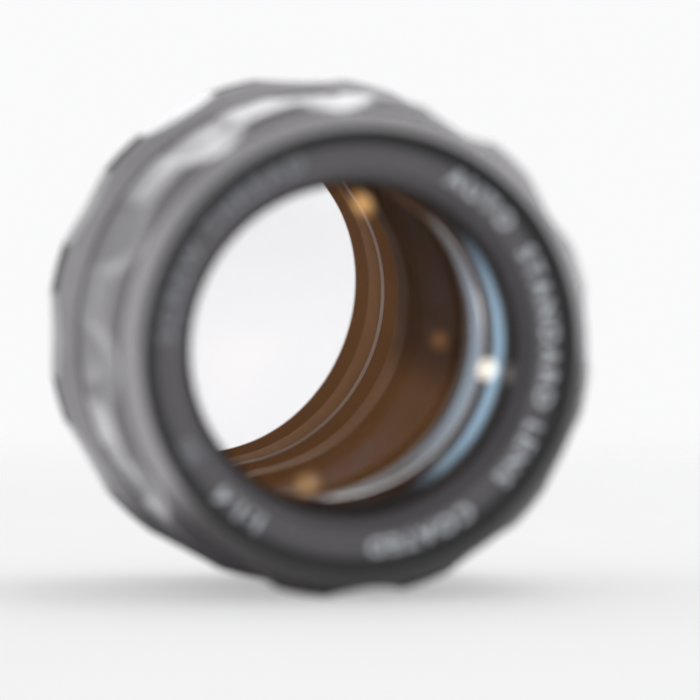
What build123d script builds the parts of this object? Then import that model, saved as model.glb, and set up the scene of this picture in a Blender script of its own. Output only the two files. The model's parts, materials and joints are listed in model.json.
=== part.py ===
"""A manual focus camera lens lying on its side.

Frame: millimetres, optical axis along Y, front towards -Y, +Z up, origin where the axis meets the mount flange.
Angles are measured in the X-Z plane, counter-clockwise as seen from the front, 0 along +X, 90 straight up.
"""

from build123d import *
import math
import os

# overall
FRONT = -42.5            # front rim
FLUTES = 12
PITCH = 360 / FLUTES
HILL_HALF = 6.0          # half width of a flute's hill, degrees

# outer rings (radius, then front and rear station along the axis)
RIM_R = 25.75
FILTER_R = 24.1          # wall of the 49 mm filter thread
BEZEL_R = 27.6
FOCUS_HILL, FOCUS_VALLEY = 29.25, 27.8
FOCUS_MOUTH, FOCUS_LAND = 28.0, -36.4       # the hills rise from a round front edge to full height at the land
FOCUS_FLARE, FOCUS_SKIRT = -33.0, 28.9       # a cone from here drowns the flutes in a round skirt behind
FOCUS_FRONT, FOCUS_REAR = -39.0, -20.1
INDEX_R = 29.0
INDEX_FRONT, INDEX_REAR = -19.9, -18.3
APERTURE_HILL, APERTURE_VALLEY = 31.0, 30.5
APERTURE_PHASE = -3.3    # the aperture ring's flutes sit this far round from the focus ring's
APERTURE_FRONT, APERTURE_LAND, APERTURE_STEP, APERTURE_REAR = -18.1, -13.3, -7.5, -4.3
APERTURE_MOUTH = 29.2    # round front edge, from which the hills rise to the land
APERTURE_BAND_R = 28.9
PAD_MARGIN = 0.6         # plain strip ahead of and behind the knurled pads
NAME_FACE, NAME_R = -41.0, 24.05      # front face and outer radius of the ring that carries the words
BASE_R = 28.0
BASE_FRONT = -4.15

# nested tubes
SLEEVE_OUT, SLEEVE_IN = 25.55, 24.05
HEAD_OUT, HEAD_IN = 24.0, 22.6
BEARING_R = 27.5         # the aperture ring turns on this
HEAD_REAR = -8.0

# mount
THREAD_R, MOUNT_IN = 21.0, 19.3
THREAD_LENGTH = 4.3
PLATE = 1.3

# motions
APERTURE_TURN = 42.0
BLADE_TURN = 33.0
ARM_REST = 69.0          # angle of the aperture arm with the lens wide open
BLADES = 6
PIVOT_R = 20.6
PIN_STEP = 10.0          # a blade's drive pin sits this far round from its pivot
PIVOT_FIRST = 20.0
PIN_SITE_R = 17.6        # stop-down pin, at 270 degrees

# glass: front vertex, front radius, rear vertex, rear radius, clear radii, edge radius (0 radius = flat)
ELEMENTS = {
    "element_1": (-41.9, 46.0, -36.3, 170.0, 20.3, 20.3, 20.3),
    "element_2": (-36.15, 26.2, -29.95, 42.0, 17.8, 17.8, 17.8),
    "element_3": (-28.35, 62.0, -26.95, 17.2, 15.2, 12.8, 15.2),
    "element_4": (-10.45, -18.5, -9.15, 0, 12.6, 14.2, 14.2),
    "element_5": (-9.15, 0, -0.95, -30.5, 14.2, 14.2, 14.2),
    "element_6": (-0.8, -140.0, 3.8, -40.0, 14.4, 14.4, 14.4),
    "element_7": (3.95, 120.0, 6.95, -400.0, 13.9, 13.9, 13.9),
}


def polar(radius, angle):
    return (radius * math.cos(math.radians(angle)), radius * math.sin(math.radians(angle)))


def facing(y):
    """A sketch plane across the axis at station y: x right, y up as seen from the front, normal to the front."""
    return Plane(origin=(0, y, 0), x_dir=(1, 0, 0), z_dir=(0, -1, 0))


def at_angle(radius, angle, y):
    """A plane at a point round the axis with its normal pointing straight out."""
    x, z = polar(radius, angle)
    return Plane(origin=(x, y, z), x_dir=(0, 1, 0), z_dir=(x, 0, z))


def turned(points):
    """A ring from its half section, given as (radius, station) corners."""
    with BuildPart() as body:
        with BuildSketch(Plane.XY):
            with BuildLine():
                Polyline(*points, close=True)
            make_face()
        revolve(axis=Axis.Y)
    return body


def sector(inner, outer, start, end):
    """A piece of a ring, as a flat face."""
    with BuildSketch(mode=Mode.PRIVATE) as face:
        with BuildLine():
            CenterArc((0, 0), outer, start, end - start)
            Line(polar(outer, end), polar(inner, end))
            CenterArc((0, 0), inner, start, end - start)
            Line(polar(inner, start), polar(outer, start))
        make_face()
    return face.sketch_local


def fluted(hill, valley, phase=0.0):
    """The fluted outline: hills concentric with the axis, hollow arcs between them, as a flat face."""
    with BuildSketch(mode=Mode.PRIVATE) as face:
        with BuildLine():
            for k in range(FLUTES):
                middle = k * PITCH + PITCH / 2 + phase
                CenterArc((0, 0), hill, middle - HILL_HALF, 2 * HILL_HALF)
                ThreePointArc(
                    polar(hill, middle + HILL_HALF),
                    polar(valley, middle + PITCH / 2),
                    polar(hill, middle + PITCH - HILL_HALF),
                )
        make_face()
    return face.sketch_local


def sag(radius, height):
    """How far a spherical surface falls back at a height off the axis."""
    if radius == 0:
        return 0.0
    return math.copysign(abs(radius) - math.sqrt(radius**2 - height**2), radius)


def lens(front, front_radius, rear, rear_radius, front_clear, rear_clear, edge):
    """One glass element, turned from its half section."""
    front_edge = front + sag(front_radius, front_clear)
    rear_edge = rear + sag(rear_radius, rear_clear)
    with BuildPart() as body:
        with BuildSketch(Plane.XY):
            with BuildLine():
                half = front_clear / 2
                if front_radius:
                    ThreePointArc((0, front), (half, front + sag(front_radius, half)), (front_clear, front_edge))
                else:
                    Line((0, front), (front_clear, front))
                if edge > front_clear:
                    Line((front_clear, front_edge), (edge, front_edge))
                Line((edge, front_edge), (edge, rear_edge))
                if edge > rear_clear:
                    Line((edge, rear_edge), (rear_clear, rear_edge))
                half = rear_clear / 2
                if rear_radius:
                    ThreePointArc((rear_clear, rear_edge), (half, rear + sag(rear_radius, half)), (0, rear))
                else:
                    Line((rear_clear, rear), (0, rear))
                Line((0, rear), (0, front))
            make_face()
        revolve(axis=Axis.Y)
    return body


def screw(plane, radius, length, head_radius, head_height):
    """A slotted screw: the plane lies on the head's outer face, its normal pointing out."""
    with BuildPart() as body:
        with BuildSketch(plane):
            Circle(head_radius)
        extrude(amount=-head_height)
        with BuildSketch(plane.offset(-head_height)):
            Circle(radius)
        extrude(amount=-length)
        with BuildSketch(plane):
            Rectangle(2 * head_radius + 1, head_radius * 0.3)
        extrude(amount=-head_height * 0.4, mode=Mode.SUBTRACT)
    return body.part


def rods(angles, radius, y, rod, depth):
    """Axial rods to cut holes with, starting at station y and running to the rear."""
    with BuildPart() as body:
        with BuildSketch(facing(y)):
            for angle in angles:
                with Locations(polar(radius, angle)):
                    Circle(rod)
        extrude(amount=-depth)
    return body.part


# ---- the fixed body --------------------------------------------------------------------------------------------

SCREW_ANGLES = [45, 135, 225, 315]
KEY_ANGLES = [0, 180]
KEY_WIDTH = 4.0
KEY_FRONT = -26.0
DETENT_ANGLE, DETENT_Y, BALL_R = 232.0, -10.0, 0.6
SWITCH_ANGLE, SWITCH_TURN = 190.0, 14.0
STOP_PIN_R, STOP_PIN_ANGLE = 26.45, 100.0


def make_base_barrel():
    with BuildPart() as body:
        with BuildSketch(Plane.XY):
            with BuildLine():
                Polyline(
                    (25.65, INDEX_FRONT), (BEARING_R, INDEX_FRONT), (BEARING_R, BASE_FRONT), (BASE_R, BASE_FRONT),
                    (BASE_R, -0.4), (BASE_R - 0.4, 0), (26.1, 0), (26.1, -PLATE), (20.5, -PLATE),
                    (20.5, BASE_FRONT), (25.65, BASE_FRONT), close=True,
                )
            make_face()
        revolve(axis=Axis.Y)
        # window for the aperture arm
        with BuildSketch(facing(-5.0)):
            add(sector(25.0, BEARING_R + 0.5, ARM_REST - 12, ARM_REST + APERTURE_TURN + 12))
        extrude(amount=2.2, mode=Mode.SUBTRACT)
        # pocket the mode switch runs in
        with BuildSketch(facing(-1.5)):
            add(sector(26.6, BASE_R + 0.5, SWITCH_ANGLE - 5, SWITCH_ANGLE + SWITCH_TURN + 5))
        extrude(amount=1.6, mode=Mode.SUBTRACT)
        # seat of the detent ball
        with BuildSketch(at_angle(25.0, DETENT_ANGLE, DETENT_Y)):
            Circle(BALL_R + 0.02)
        extrude(amount=3.0, mode=Mode.SUBTRACT)
        # tapped holes: mount screws, key screws, pin housing screw, focus stop pin
        add(rods(SCREW_ANGLES, 23.9, BASE_FRONT, 0.7, 3.0), mode=Mode.SUBTRACT)
        add(rods(KEY_ANGLES, 24.35, BASE_FRONT, 0.5, 2.0), mode=Mode.SUBTRACT)
        add(rods([270], 21.9, BASE_FRONT, 0.5, 2.0), mode=Mode.SUBTRACT)
        add(rods([STOP_PIN_ANGLE], STOP_PIN_R, INDEX_FRONT, 0.35, 1.5), mode=Mode.SUBTRACT)
    return body


def make_index_ring():
    with BuildPart() as body:
        with BuildSketch(Plane.XY):
            with BuildLine():
                Polyline(
                    (BEARING_R, INDEX_FRONT), (INDEX_R - 0.2, INDEX_FRONT), (INDEX_R, INDEX_FRONT + 0.2),
                    (INDEX_R, INDEX_REAR - 0.2), (INDEX_R - 0.2, INDEX_REAR), (BEARING_R, INDEX_REAR), close=True,
                )
            make_face()
        revolve(axis=Axis.Y)
        # depth of field lines either side of the top mark
        with BuildSketch(facing(INDEX_REAR)):
            for step in (-28, -21, -14, -7, 0, 7, 14, 21, 28):
                with Locations(Location((*polar(INDEX_R, 90 + step), 0), (0, 0, 90 + step))):
                    Rectangle(0.3, 0.3)
        extrude(amount=INDEX_REAR - INDEX_FRONT, mode=Mode.SUBTRACT)
    return body


def make_mount_ring():
    with BuildPart() as body:
        with BuildSketch(Plane.XY):
            with BuildLine():
                Polyline(
                    (MOUNT_IN, -PLATE), (26.05, -PLATE), (26.05, -0.15), (25.9, 0), (THREAD_R, 0),
                    (THREAD_R, THREAD_LENGTH - 0.4), (THREAD_R - 0.4, THREAD_LENGTH), (MOUNT_IN, THREAD_LENGTH),
                    close=True,
                )
            make_face()
        revolve(axis=Axis.Y)
        add(rods(SCREW_ANGLES, 23.9, -PLATE, 0.7, PLATE), mode=Mode.SUBTRACT)
        add(rods(SCREW_ANGLES, 23.9, -0.8, 1.3, 0.8), mode=Mode.SUBTRACT)
    return body


def make_mount_screws():
    with BuildPart() as body:
        for angle in SCREW_ANGLES:
            x, z = polar(23.9, angle)
            plane = Plane(origin=(x, -0.1, z), x_dir=(1, 0, 0), z_dir=(0, 1, 0))
            add(screw(plane, 0.68, 3.0, 1.25, 0.65))
    return body


def make_rear_baffle():
    with BuildPart() as body:
        with BuildSketch(facing(2.8)):
            Circle(MOUNT_IN)
            Circle(15.75, mode=Mode.SUBTRACT)
            with Locations(polar(PIN_SITE_R, 270)):
                Circle(1.05, mode=Mode.SUBTRACT)
        extrude(amount=0.8)
    return body


def make_pin_housing():
    with BuildPart() as body:
        with BuildSketch(facing(1.9)):
            with Locations(polar(PIN_SITE_R, 270)):
                Circle(1.65)
        extrude(amount=7.9)
        with BuildSketch(facing(BASE_FRONT)):
            with Locations(polar(20.2, 270)):
                Rectangle(3.2, 5.4)
        extrude(amount=1.2)
        add(rods([270], PIN_SITE_R, -5.4, 1.3, 7.3), mode=Mode.SUBTRACT)
        add(rods([270], 21.9, -5.35, 0.55, 1.2), mode=Mode.SUBTRACT)
    return body


def make_pin_housing_screw():
    x, z = polar(21.9, 270)
    with BuildPart() as body:
        add(screw(Plane(origin=(x, -5.75, z), x_dir=(1, 0, 0), z_dir=(0, -1, 0)), 0.48, 2.6, 0.85, 0.4))
    return body


def make_stop_down_pin():
    with BuildPart() as body:
        with BuildSketch(facing(6.0)):
            with Locations(polar(PIN_SITE_R, 270)):
                Circle(0.98)
        extrude(amount=7.0)
        with BuildSketch(facing(-1.0)):
            with Locations(polar(PIN_SITE_R, 270)):
                Circle(1.25)
        extrude(amount=0.6)
        fillet(body.edges().filter_by(GeomType.CIRCLE).group_by(Axis.Y)[-1], 0.4)
    return body


def make_stop_down_spring():
    x, z = polar(PIN_SITE_R, 270)
    wire, coil, length, turns = 0.13, 0.95, 3.4, 4
    with BuildPart() as body:
        with BuildLine() as path:
            Helix(pitch=length / turns, height=length, radius=coil, center=(x, -1.75, z), direction=(0, -1, 0))
        with BuildSketch(Plane(origin=path.line @ 0, z_dir=path.line % 0)):
            Circle(wire)
        sweep(path=path.line, is_frenet=True)
    return body


def make_guide_keys():
    with BuildPart() as body:
        for angle in KEY_ANGLES:
            side = 1 if angle == 0 else -1
            with BuildSketch(facing(BASE_FRONT)):
                with Locations((side * 23.3, 0)):
                    Rectangle(1.1, KEY_WIDTH)
            extrude(amount=BASE_FRONT - KEY_FRONT)
            with BuildSketch(facing(BASE_FRONT)):
                with Locations((side * 24.1, 0)):
                    Rectangle(2.7, KEY_WIDTH)
            extrude(amount=1.2)
        add(rods(KEY_ANGLES, 24.35, -5.35, 0.55, 1.2), mode=Mode.SUBTRACT)
    return body


def make_key_screws():
    with BuildPart() as body:
        for angle in KEY_ANGLES:
            x, z = polar(24.35, angle)
            add(screw(Plane(origin=(x, -5.7, z), x_dir=(1, 0, 0), z_dir=(0, -1, 0)), 0.48, 2.6, 0.45, 0.35))
    return body


def make_stop_pin():
    with BuildPart() as body:
        with BuildSketch(facing(INDEX_FRONT + 1.4)):
            with Locations(polar(STOP_PIN_R, STOP_PIN_ANGLE)):
                Circle(0.3)
        extrude(amount=2.4)
    return body


def make_detent_ball():
    x, z = polar(27.1, DETENT_ANGLE)
    with BuildPart() as body:
        with Locations((x, DETENT_Y, z)):
            Sphere(BALL_R)
    return body


def make_detent_spring():
    with BuildPart() as body:
        with BuildSketch(at_angle(25.35, DETENT_ANGLE, DETENT_Y + 2.6)):
            Rectangle(6.4, 1.8)
        extrude(amount=0.25)
        with BuildSketch(at_angle(25.6, DETENT_ANGLE, DETENT_Y)):
            Circle(0.45)
        extrude(amount=0.88)
    return body


def make_mode_switch():
    with BuildPart() as body:
        with BuildSketch(facing(-1.55)):
            add(sector(26.65, BASE_R - 0.05, SWITCH_ANGLE - 4.5, SWITCH_ANGLE + 4.5))
        extrude(amount=1.5)
        with BuildSketch(facing(-1.55)):
            add(sector(BASE_R - 0.2, BASE_R + 1.0, SWITCH_ANGLE - 2.2, SWITCH_ANGLE + 2.2))
        extrude(amount=1.5)
    return body


# ---- the aperture ring and what turns with it -------------------------------------------------------------------

def make_aperture_ring():
    with BuildPart() as body:
        # the flare: the hills rise out of a round front edge
        with BuildSketch(facing(APERTURE_LAND)):
            add(fluted(APERTURE_HILL, APERTURE_VALLEY, APERTURE_PHASE))
            Circle(BEARING_R + 0.08, mode=Mode.SUBTRACT)
        extrude(amount=APERTURE_LAND - APERTURE_FRONT)
        with BuildSketch(Plane.XY):
            with BuildLine():
                Polyline(
                    (APERTURE_MOUTH, APERTURE_FRONT), (APERTURE_MOUTH, APERTURE_FRONT - 1),
                    (APERTURE_HILL + 1, APERTURE_FRONT - 1), (APERTURE_HILL + 1, APERTURE_LAND),
                    (APERTURE_HILL, APERTURE_LAND), close=True,
                )
            make_face()
        revolve(axis=Axis.Y, mode=Mode.SUBTRACT)
        with BuildSketch(facing(APERTURE_STEP)):
            add(fluted(APERTURE_HILL, APERTURE_VALLEY, APERTURE_PHASE))
            Circle(BEARING_R + 0.08, mode=Mode.SUBTRACT)
        extrude(amount=PAD_MARGIN)
        # the stretch with the knurled pads: fine grooves along the axis on every hill
        with BuildSketch(facing(APERTURE_STEP - PAD_MARGIN)):
            add(fluted(APERTURE_HILL, APERTURE_VALLEY, APERTURE_PHASE))
            Circle(BEARING_R + 0.08, mode=Mode.SUBTRACT)
            for k in range(FLUTES):
                for step in (-4.4, -2.2, 0, 2.2, 4.4):
                    turn = k * PITCH + PITCH / 2 + APERTURE_PHASE + step
                    with Locations(Location((*polar(APERTURE_HILL, turn), 0), (0, 0, turn))):
                        Rectangle(0.5, 0.45, mode=Mode.SUBTRACT)
        extrude(amount=APERTURE_STEP - APERTURE_LAND - PAD_MARGIN)
        with BuildSketch(facing(APERTURE_REAR)):
            Circle(APERTURE_BAND_R)
            Circle(BEARING_R + 0.08, mode=Mode.SUBTRACT)
        extrude(amount=APERTURE_REAR - APERTURE_STEP)
        # groove the detent ball runs in, with a notch at every stop
        with BuildSketch(facing(DETENT_Y + 0.45)):
            add(sector(27.4, 27.8, DETENT_ANGLE - APERTURE_TURN - 2, DETENT_ANGLE + 2))
        extrude(amount=0.9, mode=Mode.SUBTRACT)
        for stop in range(8):
            x, z = polar(27.2, DETENT_ANGLE - stop * APERTURE_TURN / 7)
            with Locations((x, DETENT_Y, z)):
                Sphere(0.7, mode=Mode.SUBTRACT)
        # holes for the arm screws
        for step in (-5.0, 5.0):
            with BuildSketch(at_angle(27.0, ARM_REST + step, -6.0)):
                Circle(0.5)
            extrude(amount=3.0, mode=Mode.SUBTRACT)
    return body


def make_aperture_arm():
    with BuildPart() as body:
        with BuildSketch(facing(-5.3)):
            add(sector(25.6, BEARING_R + 0.08, ARM_REST - 8, ARM_REST + 8))
        extrude(amount=1.6)
        with BuildSketch(facing(-5.6)):
            with Locations(Location((*polar(21.6, ARM_REST), 0), (0, 0, ARM_REST))):
                Rectangle(9.2, 3.4)
            with Locations(Location((*polar(17.8, ARM_REST), 0), (0, 0, ARM_REST))):
                Rectangle(2.4, 1.2, mode=Mode.SUBTRACT)
        extrude(amount=0.8)
        for step in (-5.0, 5.0):
            with BuildSketch(at_angle(26.3, ARM_REST + step, -6.0)):
                Circle(0.5)
            extrude(amount=2.0, mode=Mode.SUBTRACT)
    return body


def make_arm_screws():
    with BuildPart() as body:
        for step in (-5.0, 5.0):
            add(screw(at_angle(28.75, ARM_REST + step, -6.0), 0.48, 2.0, 0.49, 0.3))
    return body


# ---- the focus ring and its sleeve ------------------------------------------------------------------------------

FOCUS_TURN = 240.0
FOCUS_SCREWS = [15, 135, 255]


def make_focus_ring():
    with BuildPart() as body:
        with BuildSketch(facing(FOCUS_REAR)):
            add(fluted(FOCUS_HILL, FOCUS_VALLEY))
        extrude(amount=FOCUS_REAR - FOCUS_FRONT)
        with BuildSketch(Plane.XY):
            with BuildLine():
                Polyline(
                    (FOCUS_MOUTH, FOCUS_FRONT), (FOCUS_MOUTH, FOCUS_FRONT - 1), (FOCUS_HILL + 1, FOCUS_FRONT - 1),
                    (FOCUS_HILL + 1, FOCUS_LAND), (FOCUS_HILL, FOCUS_LAND), close=True,
                )
            make_face()
        revolve(axis=Axis.Y, mode=Mode.SUBTRACT)
        with BuildSketch(Plane.XY):
            with BuildLine():
                Polyline(
                    (SLEEVE_OUT - 1, FOCUS_FLARE), (FOCUS_VALLEY - 0.02, FOCUS_FLARE),
                    (FOCUS_SKIRT, FOCUS_REAR - 0.15), (FOCUS_SKIRT - 0.15, FOCUS_REAR),
                    (SLEEVE_OUT - 1, FOCUS_REAR), close=True,
                )
            make_face()
        revolve(axis=Axis.Y)
        with BuildSketch(facing(FOCUS_REAR)):
            Circle(SLEEVE_OUT)
        extrude(amount=FOCUS_REAR - FOCUS_FRONT, mode=Mode.SUBTRACT)
        # groove for the stop pin, which sets the focus range
        with BuildSketch(facing(FOCUS_REAR)):
            add(sector(26.1, 26.8, STOP_PIN_ANGLE - FOCUS_TURN - 2, STOP_PIN_ANGLE + 2))
        extrude(amount=1.2, mode=Mode.SUBTRACT)
        for angle in FOCUS_SCREWS:
            with BuildSketch(at_angle(25.0, angle, -23.5)):
                Circle(0.7)
            extrude(amount=4.0, mode=Mode.SUBTRACT)
    return body


def make_helicoid_sleeve():
    with BuildPart() as body:
        with BuildSketch(Plane.XY):
            with BuildLine():
                Polyline(
                    (SLEEVE_IN, -38.8), (SLEEVE_OUT, -38.8), (SLEEVE_OUT, -12.0), (SLEEVE_IN, -12.0), close=True
                )
            make_face()
        revolve(axis=Axis.Y)
        for angle in FOCUS_SCREWS:
            with BuildSketch(at_angle(24.9, angle, -23.5)):
                Circle(0.7)
            extrude(amount=2.0, mode=Mode.SUBTRACT)
    return body


def make_focus_screws():
    with BuildPart() as body:
        for angle in FOCUS_SCREWS:
            add(screw(at_angle(28.5, angle, -23.5), 0.66, 2.9, 0.68, 0.5))
    return body


# ---- the head: everything that slides with the glass ------------------------------------------------------------

BEZEL_SCREWS = [30, 150, 270]


def make_front_bezel():
    with BuildPart() as body:
        with BuildSketch(Plane.XY):
            with BuildLine():
                Polyline(
                    (25.55, FRONT), (RIM_R, FRONT + 0.15), (26.7, -41.75), (27.3, -41.1), (BEZEL_R, -40.4),
                    (BEZEL_R, -39.35), (BEZEL_R - 0.15, -39.2), (24.3, -39.2), (24.3, -38.9), (22.0, -38.9),
                    (22.0, -39.65), (FILTER_R, -39.65), (FILTER_R, -41.9), (25.35, FRONT), close=True,
                )
            make_face()
        revolve(axis=Axis.Y)
        add(rods(BEZEL_SCREWS, 23.25, -39.65, 0.5, 1.0), mode=Mode.SUBTRACT)
        add(rods(BEZEL_SCREWS, 23.25, -39.65, 0.68, 0.4), mode=Mode.SUBTRACT)
    return body


def make_bezel_screws():
    with BuildPart() as body:
        for angle in BEZEL_SCREWS:
            x, z = polar(23.25, angle)
            add(screw(Plane(origin=(x, -39.66, z), x_dir=(1, 0, 0), z_dir=(0, -1, 0)), 0.48, 2.2, 0.66, 0.38))
    return body


def make_name_ring():
    return turned([
        (NAME_R, NAME_FACE), (21.1, NAME_FACE), (19.6, -37.65), (20.2, -37.65), (21.7, -39.0), (21.95, -39.3),
        (21.95, -39.66), (NAME_R, -39.66),
    ])


def make_front_cell():
    return turned([
        (20.3, -37.5), (21.75, -38.8), (22.55, -38.8), (22.55, -20.9), (13.0, -20.9), (13.0, -21.23),
        (15.2, -21.23), (15.2, -25.99), (17.8, -25.99), (17.8, -29.15), (18.6, -29.15), (18.6, -34.5),
        (20.3, -34.5),
    ])


def make_front_spacer():
    return turned([(18.3, -35.08), (20.3, -35.08), (20.3, -34.5), (18.6, -34.5), (18.6, -29.2), (17.8, -29.2)])


def make_head_barrel():
    with BuildPart() as body:
        with BuildSketch(Plane.XY):
            with BuildLine():
                Polyline(
                    (HEAD_IN, -38.9), (HEAD_OUT, -38.9), (HEAD_OUT, HEAD_REAR), (HEAD_IN, HEAD_REAR),
                    (HEAD_IN, -16.5), (15.6, -16.5), (15.6, -17.9), (HEAD_IN, -17.9), close=True,
                )
            make_face()
        revolve(axis=Axis.Y)
        # slots the guide keys run in
        with BuildSketch(facing(HEAD_REAR)):
            Rectangle(2 * HEAD_OUT + 2, KEY_WIDTH + 0.1)
            Circle(HEAD_IN - 0.2, mode=Mode.SUBTRACT)
        extrude(amount=19.5, mode=Mode.SUBTRACT)
        # slot for the drive ring's tail
        with BuildSketch(facing(-16.5)):
            add(sector(17.3, 18.7, ARM_REST - 4, ARM_REST + APERTURE_TURN + 4))
        extrude(amount=1.4, mode=Mode.SUBTRACT)
        add(rods(BEZEL_SCREWS, 23.25, -38.9, 0.5, 2.0), mode=Mode.SUBTRACT)
    return body


def pivot_angles():
    return [PIVOT_FIRST + k * 360 / BLADES for k in range(BLADES)]


def make_iris_plate():
    with BuildPart() as body:
        with BuildSketch(facing(-20.1)):
            Circle(22.55)
            Circle(12.75, mode=Mode.SUBTRACT)
            for angle in pivot_angles():
                with Locations(polar(PIVOT_R, angle)):
                    Circle(0.45, mode=Mode.SUBTRACT)
        extrude(amount=0.8)
    return body


def pin_track(angle, steps=24):
    """Where a blade's drive pin runs, seen from the turning drive ring."""
    px, pz = polar(PIVOT_R, angle)
    qx, qz = polar(PIVOT_R, angle + PIN_STEP)
    track = []
    for i in range(-1, steps + 2):
        share = i / steps
        swing = math.radians(share * BLADE_TURN)
        x = px + (qx - px) * math.cos(swing) - (qz - pz) * math.sin(swing)
        z = pz + (qx - px) * math.sin(swing) + (qz - pz) * math.cos(swing)
        back = -math.radians(share * APERTURE_TURN)
        track.append((x * math.cos(back) - z * math.sin(back), x * math.sin(back) + z * math.cos(back)))
    return track


def slot_face(track, half):
    """A slot of even width along a track, as a face in the open sketch."""
    left, right = [], []
    for i, (x, z) in enumerate(track):
        ax, az = track[max(i - 1, 0)]
        bx, bz = track[min(i + 1, len(track) - 1)]
        length = math.hypot(bx - ax, bz - az)
        nx, nz = -(bz - az) / length * half, (bx - ax) / length * half
        left.append((x + nx, z + nz))
        right.append((x - nx, z - nz))
    Polygon(*left, *reversed(right), align=None)


def make_iris_drive_ring():
    with BuildPart() as body:
        with BuildSketch(facing(-18.0)):
            Circle(22.52)
            Circle(13.2, mode=Mode.SUBTRACT)
        extrude(amount=0.7)
        with BuildSketch(facing(-18.0)):
            for angle in pivot_angles():
                slot_face(pin_track(angle), 0.4)
        extrude(amount=0.7, mode=Mode.SUBTRACT)
        with BuildSketch(facing(1.5)):
            with Locations(Location((*polar(18.0, ARM_REST), 0), (0, 0, ARM_REST))):
                Rectangle(1.0, 1.1)
        extrude(amount=19.5)
    return body


def make_iris_blade(index):
    angle = pivot_angles()[index]
    rear = -19.88 + 0.2 * index
    with BuildPart() as body:
        with BuildSketch(facing(rear)):
            add(sector(12.95, 19.9, angle - 6, angle + 120))
            add(sector(19.0, 21.5, angle - 4, angle + 14))
        extrude(amount=0.12)
        with BuildSketch(facing(rear - 0.12)):
            with Locations(polar(PIVOT_R, angle)):
                Circle(0.4)
        extrude(amount=rear - 0.12 + 20.7)
        with BuildSketch(facing(-18.1)):
            with Locations(polar(PIVOT_R, angle + PIN_STEP)):
                Circle(0.34)
        extrude(amount=-18.1 - rear)
    return body


def make_rear_cell():
    return turned([
        (13.0, -16.3), (15.55, -16.3), (15.55, -16.45), (17.0, -16.45), (17.0, -15.3), (15.5, -15.3), (15.5, 7.6),
        (14.4, 7.6), (14.4, -4.2), (14.2, -4.2), (14.2, -15.42), (13.0, -15.42),
    ])


def make_rear_spacer_1():
    return turned([(13.5, -4.1), (14.4, -4.1), (14.4, -1.55), (13.5, -1.55)])


def make_rear_spacer_2():
    return turned([(13.3, 1.55), (14.4, 1.2), (14.4, 4.66), (13.3, 4.66)])


def make_rear_retainer():
    with BuildPart() as body:
        with BuildSketch(Plane.XY):
            with BuildLine():
                Polyline((13.0, 6.8), (14.4, 6.8), (14.4, 7.5), (13.4, 7.5), close=True)
            make_face()
        revolve(axis=Axis.Y)
        with BuildSketch(facing(7.5)):
            Rectangle(40, 1.2)
        extrude(amount=0.3, mode=Mode.SUBTRACT)
    return body


# ---- build every piece and write it out -------------------------------------------------------------------------

PIECES = {
    "base_barrel": make_base_barrel,
    "index_ring": make_index_ring,
    "mount_ring": make_mount_ring,
    "mount_screws": make_mount_screws,
    "rear_baffle": make_rear_baffle,
    "pin_housing": make_pin_housing,
    "pin_housing_screw": make_pin_housing_screw,
    "stop_down_pin": make_stop_down_pin,
    "stop_down_spring": make_stop_down_spring,
    "guide_keys": make_guide_keys,
    "key_screws": make_key_screws,
    "focus_stop_pin": make_stop_pin,
    "detent_ball": make_detent_ball,
    "detent_spring": make_detent_spring,
    "mode_switch": make_mode_switch,
    "aperture_ring": make_aperture_ring,
    "aperture_arm": make_aperture_arm,
    "arm_screws": make_arm_screws,
    "focus_ring": make_focus_ring,
    "helicoid_sleeve": make_helicoid_sleeve,
    "focus_screws": make_focus_screws,
    "front_bezel": make_front_bezel,
    "bezel_screws": make_bezel_screws,
    "name_ring": make_name_ring,
    "front_cell": make_front_cell,
    "front_spacer": make_front_spacer,
    "head_barrel": make_head_barrel,
    "iris_plate": make_iris_plate,
    "iris_drive_ring": make_iris_drive_ring,
    "rear_cell": make_rear_cell,
    "rear_spacer_1": make_rear_spacer_1,
    "rear_spacer_2": make_rear_spacer_2,
    "rear_retainer": make_rear_retainer,
}

os.makedirs("parts", exist_ok=True)


def write(name, builder):
    builder.part.label = name
    export_step(builder.part, f"parts/{name}.step")


for piece_name, make in PIECES.items():
    write(piece_name, make())
for piece_name, shape in ELEMENTS.items():
    write(piece_name, lens(*shape))
for number in range(BLADES):
    write(f"iris_blade_{number + 1}", make_iris_blade(number))
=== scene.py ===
"""Looks for a manual focus camera lens lying on its side.

Metres. The optical axis runs along Y with the front towards -Y, +Z is up, and the origin is on the mount
flange. Angles are measured in the X-Z plane, counter-clockwise as seen from the front.
"""

import json
import math

import bmesh
import bpy
from mathutils import Matrix, Vector


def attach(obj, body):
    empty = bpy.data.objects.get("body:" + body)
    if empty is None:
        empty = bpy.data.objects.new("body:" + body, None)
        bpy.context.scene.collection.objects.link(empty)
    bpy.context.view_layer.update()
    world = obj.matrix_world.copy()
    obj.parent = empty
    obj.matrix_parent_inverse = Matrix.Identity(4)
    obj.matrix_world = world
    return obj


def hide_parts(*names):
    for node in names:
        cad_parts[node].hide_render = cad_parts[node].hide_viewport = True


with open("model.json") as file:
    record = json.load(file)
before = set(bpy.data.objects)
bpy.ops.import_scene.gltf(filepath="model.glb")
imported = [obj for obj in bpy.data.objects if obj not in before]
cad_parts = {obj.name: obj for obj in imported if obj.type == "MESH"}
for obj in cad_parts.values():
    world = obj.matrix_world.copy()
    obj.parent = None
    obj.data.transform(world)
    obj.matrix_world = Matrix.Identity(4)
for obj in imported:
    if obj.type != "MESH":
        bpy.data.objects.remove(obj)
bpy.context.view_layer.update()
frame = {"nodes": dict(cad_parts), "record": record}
MM = 0.001

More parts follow.
